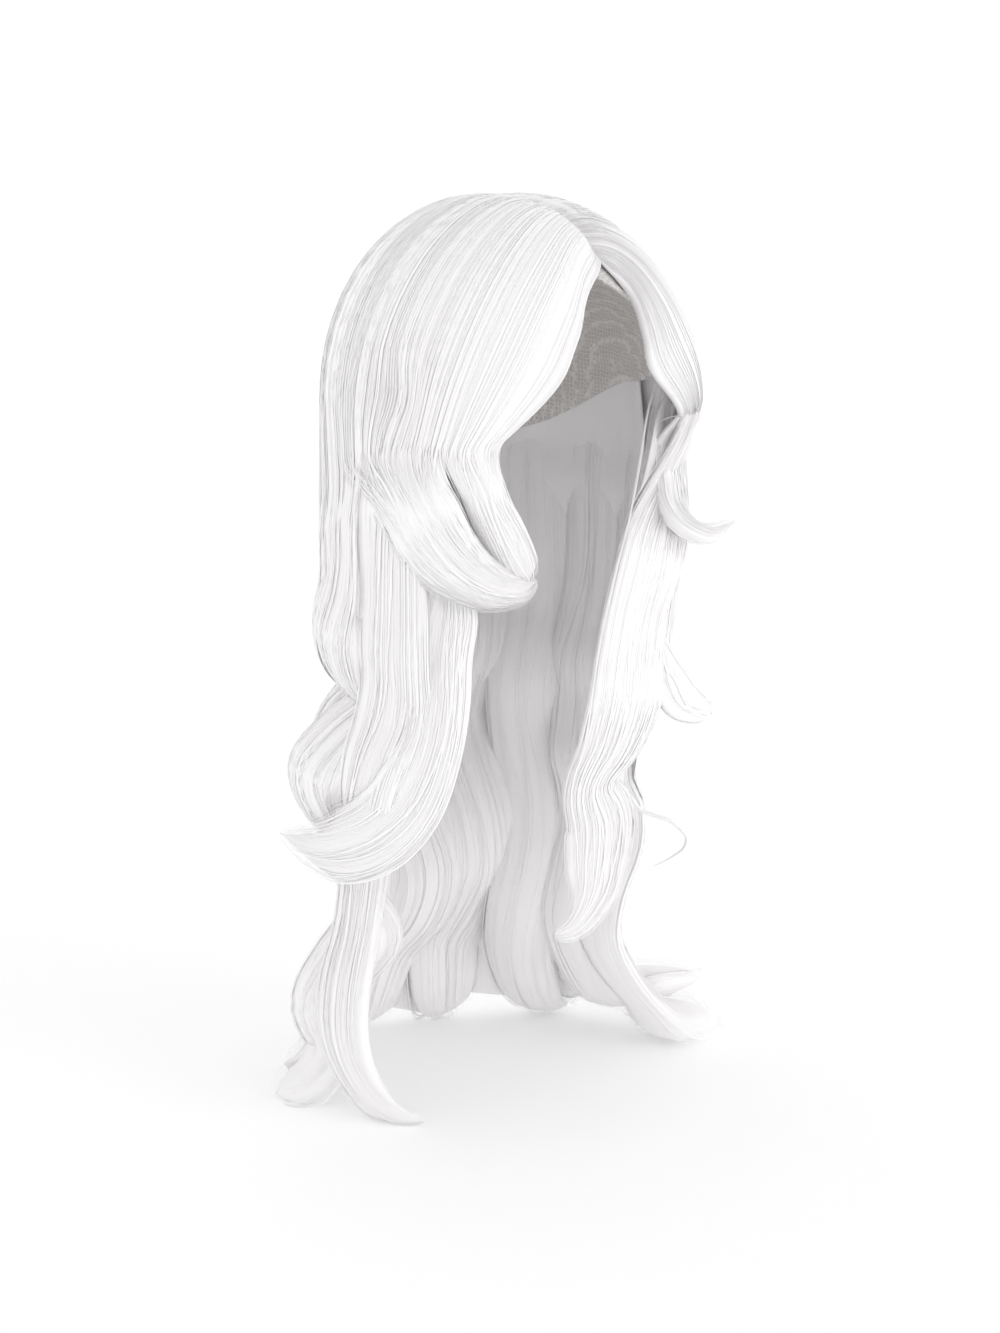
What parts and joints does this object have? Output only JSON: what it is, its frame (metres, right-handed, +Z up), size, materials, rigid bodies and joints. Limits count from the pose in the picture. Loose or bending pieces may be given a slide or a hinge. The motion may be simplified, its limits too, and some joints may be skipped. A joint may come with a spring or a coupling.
{
  "type": "long wavy wig",
  "caption": "Long white wavy wig held as worn: thin cap, near-centre parting, curtain bangs and loose waved locks whose ends lie on the table.",
  "frame": {"origin": "inside top of the cap, where it sits on the crown of the head", "axes": "+Z up, the wearer faces -Y, the wearer's right is -X"},
  "size_m": [0.284, 0.251, 0.5213],
  "materials": {
    "white_hair": "soft satin synthetic fibre",
    "cap_net": "matt stretch net"
  },
  "bodies": {
    "root": {"wig_cap": "cap_net", "crown_right": "white_hair", "crown_left": "white_hair", "bang_right": "white_hair", "bang_left": "white_hair", "sweep_lock_right": "white_hair", "face_lock_right": "white_hair", "wing_lock_right": "white_hair", "face_lock_left": "white_hair", "shoulder_lock_left": "white_hair", "flick_lock_left": "white_hair", "side_lock_right_1": "white_hair", "side_lock_right_2": "white_hair", "side_lock_right_3": "white_hair", "back_lock_1": "white_hair", "back_lock_2": "white_hair", "back_lock_3": "white_hair", "back_lock_4": "white_hair", "side_lock_left_2": "white_hair", "side_lock_left_1": "white_hair"}
  },
  "joints": []
}
